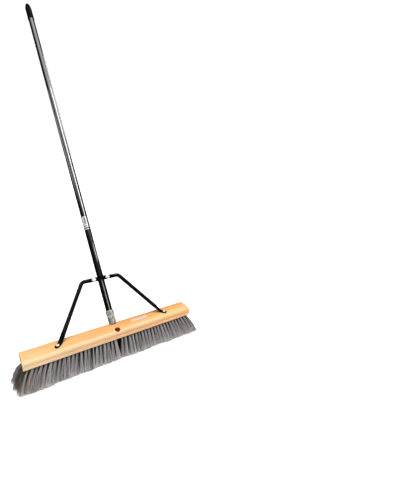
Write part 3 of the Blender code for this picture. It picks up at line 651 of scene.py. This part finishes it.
def make_world():
    """White behind the broom. For light and for gloss, a dome each: bright overhead, dark at the sides and behind."""
    world = bpy.data.worlds.new("studio")
    world.use_nodes = True
    tree = world.node_tree
    new, link = tree.nodes.new, tree.links.new
    direction = new("ShaderNodeSeparateXYZ")
    link(new("ShaderNodeTexCoord").outputs["Generated"], direction.inputs["Vector"])
    ray = new("ShaderNodeLightPath")
    level = new("ShaderNodeMixRGB")
    link(ray.outputs["Is Glossy Ray"], level.inputs["Fac"])
    for stops, socket in ((DOME_LIGHT, "Color1"), (DOME_REFLECTED, "Color2")):
        dome = new("ShaderNodeValToRGB")
        link(direction.outputs["Z"], dome.inputs["Fac"])
        elements = dome.color_ramp.elements
        while len(elements) < len(stops):
            elements.new(0.5)
        for element, (position, grey) in zip(elements, stops):
            element.position = position
            element.color = (grey, grey, grey, 1)
        link(dome.outputs["Color"], level.inputs[socket])

    strength = new("ShaderNodeMapRange")
    for name, value in (
        ("From Min", DOME_TURN), ("From Max", -DOME_TURN), ("To Min", DOME_BACK), ("To Max", DOME_FRONT),
    ):
        strength.inputs[name].default_value = value
    link(direction.outputs["Y"], strength.inputs["Value"])
    back = tree.nodes["Background"]
    link(strength.outputs["Result"], back.inputs["Strength"])
    link(level.outputs["Color"], back.inputs["Color"])

    white = new("ShaderNodeBackground")
    white.inputs["Color"].default_value = (1, 1, 1, 1)
    white.inputs["Strength"].default_value = WHITE
    choice = new("ShaderNodeMixShader")
    link(ray.outputs["Is Camera Ray"], choice.inputs["Fac"])
    link(back.outputs["Background"], choice.inputs[1])
    link(white.outputs["Background"], choice.inputs[2])
    link(choice.outputs["Shader"], tree.nodes["World Output"].inputs["Surface"])
    bpy.context.scene.world = world
    bpy.context.scene.view_settings.view_transform = "Standard"


def make_camera():
    """Low and close on the broom's left front, with the wide lens that such a view needs."""
    yaw, pitch, roll = (math.radians(a) for a in CAMERA_TURNS)
    ahead = Vector((math.cos(pitch) * math.sin(yaw), math.cos(pitch) * math.cos(yaw), -math.sin(pitch)))
    right = Vector((math.cos(yaw), -math.sin(yaw), 0))
    above = right.cross(ahead)
    turned_right = right * math.cos(roll) + above * math.sin(roll)
    turned_above = above * math.cos(roll) - right * math.sin(roll)
    data = bpy.data.cameras.new("camera")
    data.sensor_fit = "AUTO"
    data.sensor_width = SENSOR
    data.lens = LENS
    camera = bpy.data.objects.new("camera", data)
    bpy.context.scene.collection.objects.link(camera)
    matrix = Matrix((turned_right, turned_above, -ahead)).transposed().to_4x4()
    matrix.translation = CAMERA_PLACE
    camera.matrix_world = matrix
    data.clip_start = 0.02
    bpy.context.scene.camera = camera


HANDLE_STICKER = (0.055, 0.022)  # along the tube and across it
PALE, PINK, LILAC = linear(194, 164, 148), linear(188, 140, 134), linear(160, 142, 154)
# Bars of a sticker: from and to along it, from and to across it, and tint
BLOCK_BARS = (
    ((0.04, 0.96, 0.08, 0.24), PINK),
    ((0.04, 0.96, 0.80, 0.90), LILAC),
    ((0.22, 0.78, 0.56, 0.68), LILAC),
    ((0.30, 0.70, 0.36, 0.46), LILAC),
)
HANDLE_BARS = (
    ((0.06, 0.16, 0.1, 0.9), linear(60, 60, 62)),
    ((0.24, 0.30, 0.1, 0.7), linear(80, 80, 83)),
    ((0.42, 0.92, 0.35, 0.62), linear(92, 93, 97)),
)


def make_materials():
    """Every CAD node that shows gets its own look."""
    refinish("block", wood_material())
    refinish("handle_tube", paint_material("paint_look", 0.12, 1.0))
    brace_paint = paint_material("brace_paint_look", 0.15, 0.1)
    refinish("brace", brace_paint)
    refinish("clamp_strap", brace_paint)
    refinish("ferrule", ferrule_material())
    refinish("end_cap", plastic_material())
    zinc = zinc_material()
    for side in ("left", "right"):
        for name in ("clamp_bolt", "clamp_washer", "spring_washer", "clamp_nut", "foot_screw"):
            refinish(f"{name}_{side}", zinc)
    low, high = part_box("block_label")
    refinish("block_label", sticker_material(
        "block_sticker_look", (1, 0, 0), (0, 1, 0), (low + high) / 2, (high.x - low.x, high.y - low.y),
        (PALE, linear(204, 174, 157)), BLOCK_BARS))
    low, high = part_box("handle_label")
    refinish("handle_label", sticker_material(
        "handle_sticker_look", AXIS, (1, 0, 0), (low + high) / 2, HANDLE_STICKER,
        (linear(158, 158, 158), linear(180, 180, 179)), HANDLE_BARS))


make_camera()
make_materials()
make_bristles(bristle_material(), hole_shade_material())
make_floor()
make_world()
make_lamps()
